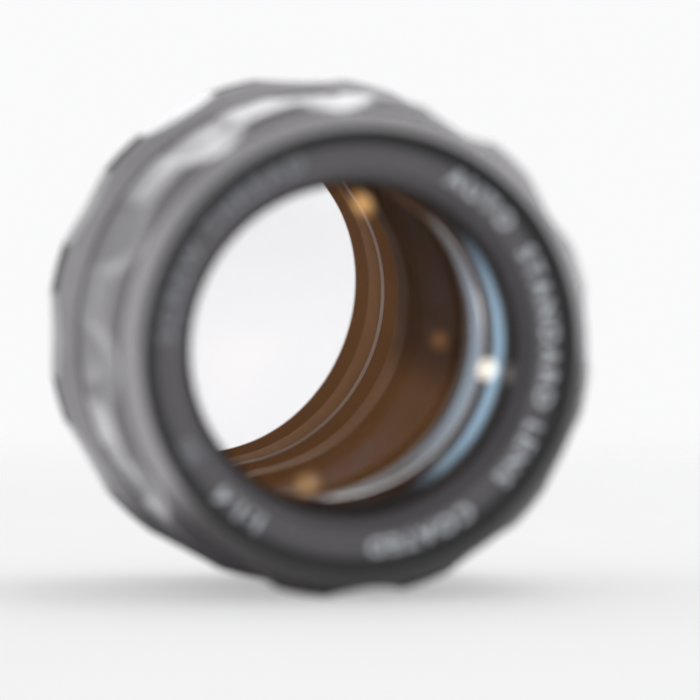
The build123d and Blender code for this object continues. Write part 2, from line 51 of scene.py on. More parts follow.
# driving sizes, in millimetres; stations are places along Y
FRONT = -42.5                           # station of the bezel's front rim
RIM_R, BEZEL_R, FILTER_R = 25.75, 27.6, 24.1
NAME_FACE, NAME_R = -41.0, 24.05        # front face and outer radius of the ring that carries the words
NAME_BASELINE = 21.8                    # radius the words stand on
FLUTES = 12
PITCH = 360 / FLUTES
HILL_HALF = 6.0                         # half the angle that the crest of a flute takes up
FOCUS_HILL, FOCUS_VALLEY = 29.25, 27.8
FOCUS_MOUTH, FOCUS_LAND = 28.0, -36.4   # the hills rise from a round front edge to full height at the land
FOCUS_FRONT, FOCUS_REAR = -39.0, -20.1
FOCUS_FLARE, FOCUS_SKIRT = -33.0, 28.9  # a cone rises from the flare and drowns the flutes at the rear
FOCUS_BORE = 25.55
APERTURE_HILL, APERTURE_VALLEY = 31.0, 30.5
APERTURE_PHASE = -3.3                   # the aperture ring's hills sit this many degrees off the focus ring's
APERTURE_FRONT, APERTURE_LAND, APERTURE_STEP, APERTURE_REAR = -18.1, -13.3, -7.5, -4.3
APERTURE_MOUTH = 29.2                   # radius of the ring's round front edge, from which the hills rise
APERTURE_BORE = 27.6
APERTURE_TURN = 42.0
BAND_R = 28.9                           # plain band behind the aperture ring's flutes
INDEX_R = 29.0
THREAD_R = 21.0                         # crest of the mount thread
TOP = 90.0                              # angle of the index marks
ENGRAVING = 0.03                        # height of the painted letters over the metal


# ---- viewpoint -------------------------------------------------------------------------------------------

AZIMUTH, ELEVATION, ROLL = math.radians(-13.4), math.radians(6.3), math.radians(3.3)
DISTANCE = 0.400                        # metres from the middle of the front rim
AIM_RIGHT, AIM_UP = -1.55, 0.38         # millimetres that the camera is shifted in its own frame
LENS, SENSOR = 180.0, 36.0
FOCUS_DISTANCE, F_STOP = 0.50, 18.0     # sharp behind the lens, so that the front rim is a little soft


def camera_axes():
    """The direction from the lens to the camera, and the camera's orientation."""
    away = Vector((math.sin(AZIMUTH) * math.cos(ELEVATION), -math.cos(AZIMUTH) * math.cos(ELEVATION),
                   math.sin(ELEVATION)))
    turn = (-away).to_track_quat("-Z", "Y").to_matrix().to_4x4() @ Matrix.Rotation(-ROLL, 4, "Z")
    return away, turn


# ---- shader node helpers ---------------------------------------------------------------------------------

def new_material(name):
    m = bpy.data.materials.new(name)
    m.use_nodes = True
    m.node_tree.nodes.clear()
    return m, m.node_tree.nodes, m.node_tree.links


def scalar_math(nodes, links, operation, a, b, clamp=False):
    """An operation on two values, each a socket or a number."""
    node = nodes.new("ShaderNodeMath")
    node.operation = operation
    node.use_clamp = clamp
    for socket, value in zip(node.inputs, (a, b)):
        if isinstance(value, (int, float)):
            socket.default_value = value
        else:
            links.new(value, socket)
    return node.outputs["Value"]


def product(nodes, links, a, b):
    return scalar_math(nodes, links, "MULTIPLY", a, b)


def vector_math(nodes, links, operation, source, value=None):
    """A vector operation on a socket, with a constant second operand where the operation takes one."""
    node = nodes.new("ShaderNodeVectorMath")
    node.operation = operation
    links.new(source, node.inputs[0])
    if value is not None:
        node.inputs[1].default_value = value
    return node.outputs["Value" if operation in ("DISTANCE", "DOT_PRODUCT", "LENGTH") else "Vector"]


def scaled(nodes, links, source, factor):
    """A colour or vector times a value."""
    node = nodes.new("ShaderNodeVectorMath")
    node.operation = "SCALE"
    links.new(source, node.inputs[0])
    links.new(factor, node.inputs["Scale"])
    return node.outputs["Vector"]


def component(nodes, links, source, axis):
    split = nodes.new("ShaderNodeSeparateXYZ")
    links.new(source, split.inputs["Vector"])
    return split.outputs[axis]


def spoke(angle):
    """Unit vector away from the axis at an angle."""
    a = math.radians(angle)
    return Vector((math.cos(a), 0, math.sin(a)))


def towards(nodes, links, place, angle):
    """Cosine between a point's direction from the axis and an angle round it."""
    across = vector_math(nodes, links, "MULTIPLY", place, (1, 0, 1))
    unit = vector_math(nodes, links, "NORMALIZE", across)
    return vector_math(nodes, links, "DOT_PRODUCT", unit, spoke(angle))


def mix_values(nodes, links, factor, low, high):
    """From a number to the value of a socket."""
    mix = nodes.new("ShaderNodeMix")
    links.new(factor, mix.inputs["Factor"])
    mix.inputs["A"].default_value = low
    links.new(high, mix.inputs["B"])
    return mix.outputs["Result"]


def mix_colors(nodes, links, factor, low, high):
    mix = nodes.new("ShaderNodeMix")
    mix.data_type = "RGBA"
    links.new(factor, mix.inputs["Factor"])
    mix.inputs["A"].default_value = (*low, 1)
    mix.inputs["B"].default_value = (*high, 1)
    return mix.outputs["Result"]


def mix_shaders(nodes, links, factor, low, high):
    mix = nodes.new("ShaderNodeMixShader")
    links.new(factor, mix.inputs["Fac"])
    links.new(low, mix.inputs[1])
    links.new(high, mix.inputs[2])
    return mix.outputs["Shader"]


def add_shaders(nodes, links, a, b):
    both = nodes.new("ShaderNodeAddShader")
    links.new(a, both.inputs[0])
    links.new(b, both.inputs[1])
    return both.outputs["Shader"]


def emission(nodes, links, color, strength):
    glow = nodes.new("ShaderNodeEmission")
    glow.inputs["Color"].default_value = (*color, 1)
    links.new(strength, glow.inputs["Strength"])
    return glow.outputs["Emission"]


def noise(nodes, links, scale, detail=4.0, stretch=(1, 1, 1)):
    """A noise texture in object space, optionally stretched."""
    coords = nodes.new("ShaderNodeTexCoord")
    mapping = nodes.new("ShaderNodeMapping")
    mapping.inputs["Scale"].default_value = stretch
    tex = nodes.new("ShaderNodeTexNoise")
    tex.inputs["Scale"].default_value = scale
    tex.inputs["Detail"].default_value = detail
    links.new(coords.outputs["Object"], mapping.inputs["Vector"])
    links.new(mapping.outputs["Vector"], tex.inputs["Vector"])
    return tex.outputs["Fac"]


def between(nodes, links, factor, low, high):
    """Remaps a noise factor onto a range of values."""
    ramp = nodes.new("ShaderNodeMapRange")
    for key, value in (("From Min", 0.3), ("From Max", 0.7), ("To Min", low), ("To Max", high)):
        ramp.inputs[key].default_value = value
    links.new(factor, ramp.inputs["Value"])
    return ramp.outputs["Result"]


def smooth(nodes, links, source, start, end, low=0.0, high=1.0):
    """Eases from low to high as the source goes from start to end."""
    ramp = nodes.new("ShaderNodeMapRange")
    ramp.interpolation_type = "SMOOTHSTEP"
    for key, value in (("From Min", start), ("From Max", end), ("To Min", low), ("To Max", high)):
        ramp.inputs[key].default_value = value
    links.new(source, ramp.inputs["Value"])
    return ramp.outputs["Result"]


# ---- materials -------------------------------------------------------------------------------------------

def surface(name, color, roughness=0.4, metallic=0.0, ior=1.5, grain=900.0, bump=0.05, spread=0.08, tone=0.15,
            stretch=(1, 1, 1), sheen=(1, 1, 1)):
    """A painted or turned metal surface whose colour and roughness drift a little, with a fine grain."""
    m, nodes, links = new_material(name)
    out = nodes.new("ShaderNodeOutputMaterial")
    bsdf = nodes.new("ShaderNodeBsdfPrincipled")
    bsdf.inputs["Metallic"].default_value = metallic
    bsdf.inputs["IOR"].default_value = ior
    bsdf.inputs["Specular Tint"].default_value = (*sheen, 1)
    wide = noise(nodes, links, grain * 0.12, 3.0)
    fine = noise(nodes, links, grain, 5.0, stretch)
    dark = [c * (1 - tone) for c in color]
    pale = [min(c * (1 + tone), 1) for c in color]
    links.new(mix_colors(nodes, links, wide, dark, pale), bsdf.inputs["Base Color"])
    links.new(between(nodes, links, wide, roughness - spread, roughness + spread), bsdf.inputs["Roughness"])
    bump_node = nodes.new("ShaderNodeBump")
    bump_node.inputs["Strength"].default_value = bump
    bump_node.inputs["Distance"].default_value = 0.0001
    links.new(fine, bump_node.inputs["Height"])
    links.new(bump_node.outputs["Normal"], bsdf.inputs["Normal"])
    links.new(bsdf.outputs["BSDF"], out.inputs["Surface"])
    return m


EDGE_GLINT = (0.45, 0.62, 0.85)         # colour of a coating's reflection where light skims it


def coated_glass(name, ior, clear, glint, strength, rim=0.3, refract=True, catchlights=()):
    """Lens glass: it bends light, tints it slightly, and its coating throws back a weak coloured reflection.

    The reflection takes the coating's colour where the light meets the glass head on, and turns pale blue
    where the light skims it. It never grows stronger than rim.
    """
    m, nodes, links = new_material(name)
    out = nodes.new("ShaderNodeOutputMaterial")
    if refract:
        through = nodes.new("ShaderNodeBsdfRefraction")
        through.inputs["IOR"].default_value = ior
        through.inputs["Roughness"].default_value = 0.0
    else:
        through = nodes.new("ShaderNodeBsdfTransparent")
    through.inputs["Color"].default_value = (*clear, 1)
    fresnel = nodes.new("ShaderNodeFresnel")
    fresnel.inputs["IOR"].default_value = ior
    uneven = between(nodes, links, noise(nodes, links, 160.0, 2.0), strength * 0.94, strength * 1.06)
    amount = scalar_math(nodes, links, "MINIMUM", product(nodes, links, fresnel.outputs["Fac"], uneven), rim)
    skim = smooth(nodes, links, fresnel.outputs["Fac"], 0.15, 0.7)
    tint = mix_colors(nodes, links, skim, glint, EDGE_GLINT)
    gloss = nodes.new("ShaderNodeBsdfGlossy")
    gloss.inputs["Roughness"].default_value = 0.0
    links.new(scaled(nodes, links, tint, amount), gloss.inputs["Color"])
    shader = add_shaders(nodes, links, through.outputs["BSDF"], gloss.outputs["BSDF"])
    for spot in catchlights:
        shader = add_shaders(nodes, links, shader, catchlight(nodes, links, *spot))
    links.new(shader, out.inputs["Surface"])
    return m


def catchlight(nodes, links, x, z, radius, color, strength):
    """A small round reflection of a lamp on the front glass, seen only from near the main viewpoint."""
    soft = 0.15
    place = nodes.new("ShaderNodeNewGeometry")
    across = vector_math(nodes, links, "MULTIPLY", place.outputs["Position"], (1, 0, 1))
    gap = vector_math(nodes, links, "DISTANCE", across, (x * MM, 0, z * MM))
    spot = smooth(nodes, links, gap, (radius - soft) * MM, (radius + soft) * MM, 1.0, 0.0)
    view = vector_math(nodes, links, "DOT_PRODUCT", place.outputs["Incoming"], camera_axes()[0])
    near = smooth(nodes, links, view, 0.975, 0.992)
    front = smooth(nodes, links, component(nodes, links, place.outputs["True Normal"], "Y"), -0.6, -0.8)
    amount = product(nodes, links, product(nodes, links, spot, near), front)
    return emission(nodes, links, color, product(nodes, links, amount, strength))


def bsdf_of(material):
    return next(n for n in material.node_tree.nodes if n.type == "BSDF_PRINCIPLED")


def edge_lit(name, color, glow, angle=-14.0, width=0.62):
    """A pale wall inside the glass that glows as if light skimmed along it, strongest at one angle."""
    m = surface(name, color, 0.5, ior=1.3, grain=1800, bump=0.05, stretch=(1, 0.05, 1))
    nodes, links, bsdf = m.node_tree.nodes, m.node_tree.links, bsdf_of(m)
    place = nodes.new("ShaderNodeNewGeometry").outputs["Position"]
    bsdf.inputs["Emission Color"].default_value = (*glow, 1)
    lit = smooth(nodes, links, towards(nodes, links, place, angle), width, 1.0)
    links.new(lit, bsdf.inputs["Emission Strength"])
    return m


def shaded_bore(name, color, glow):
    """The wall of the light path, brown with a faint glow that paint the amber reflection of the coated
    glass; darker in front on the right, by the iris housing, as painted shade.

    Faces that look back are darker too, as painted shade, so that the rear of the lens doesn't glow.
    """
    m = surface(name, color, 0.6, ior=1.08, grain=2800, bump=0.12)
    nodes, links, bsdf = m.node_tree.nodes, m.node_tree.links, bsdf_of(m)
    place = nodes.new("ShaderNodeTexCoord").outputs["Object"]
    # painted shade: a dark patch in front on the right, by the iris housing
    side = smooth(nodes, links, towards(nodes, links, place, 14.0), 0.62, 0.98)
    depth = smooth(nodes, links, component(nodes, links, place, "Y"), 4 * MM, -4 * MM)
    inside = smooth(nodes, links, product(nodes, links, side, depth), 0.0, 1.0, 1.0, 0.02)
    normal = nodes.new("ShaderNodeNewGeometry").outputs["True Normal"]
    # painted shade on faces that look back
    back = smooth(nodes, links, component(nodes, links, normal, "Y"), 0.3, 0.7, 1.0, 0.08)
    shade = product(nodes, links, inside, back)
    base = bsdf.inputs["Base Color"].links[0].from_socket
    links.new(scaled(nodes, links, base, shade), bsdf.inputs["Base Color"])
    # painted reflection: the faint amber glow
    bsdf.inputs["Emission Color"].default_value = (*glow, 1)
    links.new(shade, bsdf.inputs["Emission Strength"])
    return m


BLACK = surface("black_anodised", (0.040, 0.036, 0.040), 0.33, ior=1.65, grain=2600, bump=0.08, spread=0.05,
                sheen=(0.97, 0.94, 1.0))
BEZEL = surface("bezel_black", (0.046, 0.043, 0.042), 0.20, ior=2.2, grain=2600, bump=0.05, spread=0.04,
                stretch=(1, 0.1, 1), sheen=(0.99, 0.97, 1.0))
PAD = surface("pad_black", (0.016, 0.015, 0.017), 0.55, ior=1.4, grain=3000, bump=0.12)
# matt black darker than the bezel: partly the finish inside the rim, partly painted shade in the filter
# thread's groove
MATT_PAINTED_SHADE = surface("matt_black_painted_shade", (0.016, 0.015, 0.016), 0.6, ior=1.45, grain=3000, bump=0.15)
NAME = surface("name_black", (0.104, 0.098, 0.107), 0.55, ior=1.6, grain=2800, bump=0.10)
PAINT = surface("engraving_paint", (0.66, 0.70, 0.74), 0.6, ior=1.45, grain=3000, bump=0.1, tone=0.06)
# a darker copy of the engraving paint: painted shade on the words that get less light
PAINT_IN_SHADE = surface("engraving_paint_in_shade", (0.26, 0.275, 0.30), 0.6, ior=1.45, grain=3000, bump=0.1, tone=0.1)
RED = surface("index_red", (0.55, 0.03, 0.02), 0.5, ior=1.45, grain=3000, bump=0.1)
GREEN = surface("feet_green", (0.35, 0.42, 0.12), 0.55, ior=1.45, grain=3000, bump=0.1)
CHROME = surface("bright_mount", (0.62, 0.62, 0.63), 0.24, metallic=1.0, grain=1500, bump=0.05,
                 stretch=(1, 0.05, 1))
STEEL = surface("screw_steel", (0.50, 0.50, 0.52), 0.3, metallic=1.0, grain=2500, bump=0.08)
SPRING = surface("spring_steel", (0.42, 0.42, 0.45), 0.34, metallic=1.0, grain=2500, bump=0.08)
BRASS = surface("helicoid_brass", (0.56, 0.39, 0.15), 0.32, metallic=1.0, grain=1800, bump=0.08,
                stretch=(1, 0.05, 1))
IRIS = surface("iris_steel", (0.075, 0.040, 0.020), 0.5, grain=2400, bump=0.10)
BLADE = surface("blade_steel", (0.075, 0.045, 0.026), 0.45, metallic=0.2, grain=2400, bump=0.08)
SPACER = surface("spacer_black", (0.030, 0.022, 0.017), 0.5, ior=1.5, grain=2800, bump=0.12)
# brown of the front cell: a painted reflection of the amber coatings on the glass
CELL_PAINTED_AMBER = surface("cell_painted_amber", (0.092, 0.050, 0.022), 0.6, ior=1.08, grain=2800, bump=0.12)
# pale blue wall that glows on one side: a painted reflection of the bright surroundings in the glass
BLUE_PAINTED_REFLECTION = edge_lit("blue_painted_reflection", (0.16, 0.20, 0.25), (0.34, 0.50, 0.64))
# light grey iris plate with a bluish glow on one side: a painted reflection
PLATE_PAINTED_SHEEN = edge_lit("iris_plate_grey_painted_sheen", (0.26, 0.25, 0.24), (0.22, 0.29, 0.36))
# brown wall of the light path: painted amber reflection and painted shade
BORE_PAINTED_GLOW = shaded_bore("bore_painted_amber_glow", (0.075, 0.040, 0.018), (0.072, 0.031, 0.011))
# light rim with a faint glow: a painted highlight on the rear spacer's front edge
RIM_PAINTED_HIGHLIGHT = edge_lit("rim_painted_highlight", (0.30, 0.24, 0.18), (0.06, 0.05, 0.05), 20.0, 0.2)
GLASS_CLEAR = (0.958, 0.960, 0.963)     # share of the light that one pass through glass keeps


# ---- mesh helpers ----------------------------------------------------------------------------------------

def polar(radius, angle, y=0.0):
    a = math.radians(angle)
    return Vector((radius * math.cos(a), y, radius * math.sin(a))) * MM


def to_object(name, verts, faces, material, sharp=30.0):
    mesh = bpy.data.meshes.new(name)
    mesh.from_pydata([tuple(v) for v in verts], [], faces)
    mesh.validate()
    for p in mesh.polygons:
        p.use_smooth = True
    mesh.set_sharp_from_angle(angle=math.radians(sharp))
    mesh.materials.append(material)
    obj = bpy.data.objects.new(name, mesh)
    bpy.context.scene.collection.objects.link(obj)
    return obj


def lathe(name, profile, material, segments=256, sharp=30.0):
    """Turns a closed (radius, station) profile, listed so that the outside of the solid is on its right."""
    verts, faces, rings = [], [], []
    for r, y in profile:
        if r < 1e-6:
            rings.append([len(verts)] * segments)
            verts.append(Vector((0, y, 0)) * MM)
        else:
            rings.append(list(range(len(verts), len(verts) + segments)))
            verts += [polar(r, 360 * k / segments, y) for k in range(segments)]
    for i, ring in enumerate(rings):
        after = rings[(i + 1) % len(rings)]
        for k in range(segments):
            n = (k + 1) % segments
            face = [ring[k], ring[n], after[n], after[k]]
            face = [v for j, v in enumerate(face) if v not in face[:j]]
            if len(face) > 2:
                faces.append(face)
    obj = to_object(name, verts, faces, material, sharp)
    outward(obj)
    return obj


def repaint(obj, material, chosen):
    """Gives another material to the faces that a test picks.

    The test gets the radius, angle and station of the face's middle, and how far it looks along the axis.
    """
    obj.data.materials.append(material)
    for face in obj.data.polygons:
        x, y, z = face.center
        if chosen(math.hypot(x, z) / MM, math.degrees(math.atan2(z, x)), y / MM, abs(face.normal.y)):
            face.material_index = 1


def outward(obj):
    """Makes every face look out of the solid."""
    bm = bmesh.new()
    bm.from_mesh(obj.data)
    bmesh.ops.recalc_face_normals(bm, faces=bm.faces)
    bm.to_mesh(obj.data)
    bm.free()


def arc(centre, radius, start, end, steps):
    """Points of a circular arc in the (radius, station) plane."""
    points = []
    for i in range(steps + 1):
        a = math.radians(start + (end - start) * i / steps)
        points.append((centre[0] + radius * math.cos(a), centre[1] + radius * math.sin(a)))
    return points


def flute_radius(angle, hill, valley, phase=0.0):
    """Radius of the fluted outline at an angle: round hills, hollow arcs between them."""
    off = abs((angle - phase + PITCH / 2) % PITCH - PITCH / 2)
    reach = PITCH / 2 - HILL_HALF
    if hill - valley < 1e-6 or off >= reach:
        return hill
    cos_reach = math.cos(math.radians(reach))
    centre = (hill**2 - valley**2) / (2 * (hill * cos_reach - valley))
    hollow = centre - valley
    a = math.radians(off)
    return centre * math.cos(a) - math.sqrt(max(hollow**2 - (centre * math.sin(a)) ** 2, 0))


def flute_angles(fine=3, coarse=8, phase=0.0):
    """Angles round the ring, closer together on the hills."""
    angles = []
    for k in range(FLUTES):
        start = phase + k * PITCH + PITCH / 2 - HILL_HALF
        angles += [start + 2 * HILL_HALF * i / (fine * 12) for i in range(fine * 12)]
        angles += [start + 2 * HILL_HALF + (PITCH - 2 * HILL_HALF) * i / coarse for i in range(coarse)]
    return angles


def fluted_solid(name, outer, inner, material, angles, sharp=35.0):
    """A ring whose outer stations are (y, radius function of the angle) and inner stations (radius, y)."""
    verts, faces, rings = [], [], []
    for y, radius_at in outer:
        rings.append(range(len(verts), len(verts) + len(angles)))
        verts += [polar(radius_at(a), a, y) for a in angles]
    for r, y in inner:
        rings.append(range(len(verts), len(verts) + len(angles)))
        verts += [polar(r, a, y) for a in angles]
    count = len(angles)
    for i, ring in enumerate(rings):
        after = rings[(i + 1) % len(rings)]
        for k in range(count):
            n = (k + 1) % count
            faces.append([ring[k], ring[n], after[n], after[k]])
    obj = to_object(name, verts, faces, material, sharp)
    outward(obj)
    return obj


def letters(text, size, weight=0.0, spacing=1.0):
    """Vertices and faces of a line of text, flat, centred on x with its baseline on y = 0, in millimetres."""
    curve = bpy.data.curves.new("text", "FONT")
    curve.body = text
    curve.size = size
    curve.offset = weight
    curve.space_character = spacing
    curve.align_x = "CENTER"
    curve.resolution_u = 4
    obj = bpy.data.objects.new("text", curve)
    bpy.context.scene.collection.objects.link(obj)
    bpy.context.view_layer.update()
    mesh = bpy.data.meshes.new_from_object(obj.evaluated_get(bpy.context.evaluated_depsgraph_get()))
    flat = [(v.co.x, v.co.y) for v in mesh.vertices]
    faces = [list(p.vertices) for p in mesh.polygons]
    bpy.data.objects.remove(obj)
    bpy.data.meshes.remove(mesh)
    return flat, faces


def raised(name, marks, material, lift=ENGRAVING):
    """One mesh from flat shapes: marks are (points, faces, place), and place gives a point and its normal."""
    sunk = 0.02
    verts, faces = [], []
    for points, shape_faces, place in marks:
        base = len(verts)
        count = len(points)
        low, high = [], []
        for x, y in points:
            spot, normal = place(x, y)
            low.append(spot - normal * sunk * MM)
            high.append(spot + normal * lift * MM)
        verts += low + high
        edges = set()
        for f in shape_faces:
            faces.append([base + count + v for v in f])
            faces.append([base + v for v in reversed(f)])
            for i, v in enumerate(f):
                edges.add((v, f[(i + 1) % len(f)]))
        for a, b in sorted(edges):
            if (b, a) not in edges:
                faces.append([base + a, base + b, base + count + b, base + count + a])
    obj = to_object(name, verts, faces, material, 40.0)
    outward(obj)
    return obj


def on_face(radius, angle, y):
    """Places text on a face that looks forward, letters standing away from the axis and reading clockwise."""
    def place(x, up):
        turn = angle - math.degrees(x / radius)
        return polar(radius + up, turn, y), Vector((0, -1, 0))
    return place


def on_barrel(radius_at, angle, y):
    """Places text round a barrel, read from outside with the front of the lens at its foot."""
    def place(x, up):
        turn = angle - math.degrees(x / radius_at(angle))
        return polar(radius_at(turn), turn, y + up), spoke(turn)
    return place


def bar(width, height):
    """A small rectangle standing on the baseline."""
    return [(-width / 2, 0), (width / 2, 0), (width / 2, height), (-width / 2, height)], [[0, 1, 2, 3]]


def dot(radius, sides=20):
    """A small disc round the baseline's middle."""
    points = [(radius * math.cos(2 * math.pi * i / sides), radius * math.sin(2 * math.pi * i / sides))
              for i in range(sides)]
    return points, [list(range(sides))]


def body(obj, name, slot_name, *nodes):
    """Fixes a piece to a moving body and takes the place of the CAD nodes given; slot_name is not used."""
    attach(obj, name)
    if nodes:
        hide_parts(*nodes)
    return obj


# ---- the front -------------------------------------------------------------------------------------------

def teeth(radius, depth, start, end, pitch):
    """A thread's outline as small teeth along a wall, from one station to the other."""
    count = max(int(abs(end - start) / pitch), 1)
    step = (end - start) / count
    points = []
    for i in range(count):
        y = start + i * step
        points += [(radius, y), (radius, y + step * 0.15), (radius + depth, y + step * 0.5),
                   (radius, y + step * 0.85)]
    points.append((radius, end))
    return points


def make_bezel():
    shoulder = arc((RIM_R - 0.18, FRONT + 0.18), 0.18, -90, -20, 5)
    crown = arc((24.88, -39.62), 2.77, -59.2, -16.3, 4)
    rear = arc((BEZEL_R - 0.22, -39.42), 0.22, 0, 90, 5)
    inner = [(24.3, -39.2), (24.3, -38.9), (22.0, -38.9), (22.0, -39.65), (FILTER_R, -39.65)]
    thread = teeth(FILTER_R, 0.38, -39.9, -41.85, 0.65)
    mouth = [(24.6, -41.95), (25.1, -42.36), (25.3, FRONT)]
    bezel = lathe("bezel_body", shoulder + crown + rear + inner + thread + mouth, BEZEL, 384)
    # the faces inside the rim get the darker matt black, partly painted shade in the thread's recess
    repaint(bezel, MATT_PAINTED_SHADE, lambda r, angle, y, along: r < RIM_R - 0.12)
    return bezel


def make_name_ring():
    """The ring with the words: a flat face, and a cone of fine steps that leads in to the glass."""
    profile = [(NAME_R, NAME_FACE + 0.08), (NAME_R - 0.08, NAME_FACE),
               (21.1, NAME_FACE), (20.98, NAME_FACE + 0.08)]
    steps = 12
    wide, narrow, start, end = 20.95, 19.75, NAME_FACE + 0.2, -37.8
    for i in range(steps):
        t = i / steps
        r, y = wide + (narrow - wide) * t, start + (end - start) * t
        profile += [(r, y), (r - 0.02, y + 0.16), (r - 0.10, y + 0.17)]
    profile += [(19.65, -37.7), (19.6, -37.6), (20.2, -37.65), (21.7, -39.0), (21.95, -39.3), (21.95, -39.66),
                (NAME_R, -39.66)]
    return lathe("name_ring_body", profile, NAME, 384, 25)


NAME_TEXT = [
    # words, middle angle, letter size, letter spacing
    ("AUTO", 47.0, 2.9, 1.25),
    ("STANDARD LENS", -9.5, 2.9, 1.32),
    ("COATED", -74.5, 2.9, 1.15),
    ("1:1.4", -131.7, 3.1, 1.1),
    ("50", -154.5, 2.9, 1.0),
    ("SCREW THREAD", 138.0, 2.9, 1.3),
]
# words printed in the darker paint, as painted shade
PAINTED_SHADE_WORDS = ("SCREW THREAD", "50")


def make_name_text(name, in_shade, paint):
    """The words in the darker paint that is painted shade, or the others."""
    weight = 0.07
    marks = []
    for words, angle, size, spacing in NAME_TEXT:
        if (words in PAINTED_SHADE_WORDS) == in_shade:
            points, faces = letters(words, size, weight, spacing)
            marks.append((points, faces, on_face(NAME_BASELINE, angle, NAME_FACE)))
    return raised(name, marks, paint)


# ---- glass -----------------------------------------------------------------------------------------------

ELEMENTS = {
    # node: front vertex and its radius, rear vertex and its radius (0 is flat), clear radii, edge radius,
    # glass index, refracts
    "element_1": (-41.9, 46.0, -36.3, 170.0, 20.3, 20.3, 20.3, 1.80, True),
    "element_2": (-36.15, 26.2, -29.95, 42.0, 17.8, 17.8, 17.8, 1.80, True),
    "element_3": (-28.35, 62.0, -26.95, 17.2, 15.2, 12.8, 15.2, 1.65, True),
    "element_4": (-10.45, -18.5, -9.15, 0, 12.6, 14.2, 14.2, 1.50, False),
    "element_5": (-9.15, 0, -0.95, -30.5, 14.2, 14.2, 14.2, 1.50, False),
    "element_6": (-0.8, -140.0, 3.8, -40.0, 14.4, 14.4, 14.4, 1.50, False),
    "element_7": (3.95, 120.0, 6.95, -400.0, 13.9, 13.9, 13.9, 1.50, False),
}
COATING = {"element_1": (0.80, 0.52, 0.40), "element_2": (1.0, 0.46, 0.20), "element_3": (1.0, 0.44, 0.16)}
CATCHLIGHTS = [
    # x and z on the front glass to the nearest half millimetre, radius, colour, strength
    (2.0, 16.5, 1.10, (1.0, 0.56, 0.21), 0.34),
    (9.5, 0.5, 0.95, (1.0, 0.42, 0.14), 0.10),
    (15.5, -3.5, 1.25, (1.0, 0.93, 0.78), 0.95),
    (19.0, -4.5, 1.15, (1.0, 0.93, 0.88), 0.12),
    (-6.5, -15.0, 1.35, (1.0, 0.60, 0.25), 0.16),
    (9.5, -14.0, 1.40, (0.85, 1.0, 0.75), 0.03),
]
FIT = 0.04                              # gap between a glass edge and the wall that holds it


def sag(radius, height):
    """How far a glass surface falls back from its vertex at a height from the axis."""
    if radius == 0:
        return 0.0
    return math.copysign(abs(radius) - math.sqrt(radius**2 - height**2), radius)


def make_element(node, front, front_r, rear, rear_r, front_clear, rear_clear, edge, ior, refracts):
    front_clear, rear_clear, edge = front_clear - FIT, rear_clear - FIT, edge - FIT
    steps = 24

    def curve(vertex, radius, clear):
        heights = [clear * i / steps for i in range(steps + 1)]
        return [(h, vertex + sag(radius, h)) for h in heights]

    profile = curve(front, front_r, front_clear)
    if edge > front_clear:
        profile.append((edge, profile[-1][1]))
    back = curve(rear, rear_r, rear_clear)[::-1]
    if edge > rear_clear:
        profile.append((edge, back[0][1]))
    spots = CATCHLIGHTS if node == "element_1" else ()
    if refracts:
        glass = coated_glass("glass_" + node, ior, GLASS_CLEAR, COATING[node], 0.18, catchlights=spots)
    else:
        glass = coated_glass("glass_" + node, ior, (1, 1, 1), (1.0, 0.55, 0.28), 0.03, rim=0.006,
                             refract=False)
    return body(lathe(node + "_glass", profile + back, glass, 192), "head", "coated_glass", node)


# ---- the rings -------------------------------------------------------------------------------------------

def fluted(hill, valley, inset=0.0, phase=0.0):
    """The fluted outline as a function of the angle."""
    return lambda a: flute_radius(a, hill, valley, phase) - inset


def focus_radius(y, inset=0.0):
    """The focus ring's outline at a station: flutes rise from a round edge and drown in a cone behind."""
    t = min(max((y - FOCUS_FLARE) / (FOCUS_REAR - FOCUS_FLARE), 0), 1)
    foot = FOCUS_VALLEY - 0.02
    skirt = foot + (FOCUS_SKIRT - foot) * t
    t = min(max((y - FOCUS_FRONT) / (FOCUS_LAND - FOCUS_FRONT), 0), 1)
    mouth = FOCUS_MOUTH + (FOCUS_HILL - FOCUS_MOUTH) * t
    return lambda a: min(max(flute_radius(a, FOCUS_HILL, FOCUS_VALLEY), skirt), mouth) - inset


def make_focus_ring():
    outer = [(FOCUS_FRONT, focus_radius(FOCUS_FRONT, 0.12)),
             (FOCUS_FRONT + 0.05, focus_radius(FOCUS_FRONT, 0.03))]
    steps = 48
    for i in range(steps + 1):
        y = FOCUS_FRONT + 0.15 + i * (FOCUS_REAR - FOCUS_FRONT - 0.25) / steps
        outer.append((y, focus_radius(y)))
    outer.append((FOCUS_REAR, focus_radius(FOCUS_REAR, 0.1)))
    inner = [(FOCUS_BORE, FOCUS_REAR), (FOCUS_BORE, FOCUS_FRONT)]
    return fluted_solid("focus_ring_body", outer, inner, BLACK, flute_angles(1, 12))


PAD_HALF = 5.5                          # half the angle of a knurled pad, which sits between two hills
PAD_PITCH, PAD_DEPTH = 0.62, 0.26


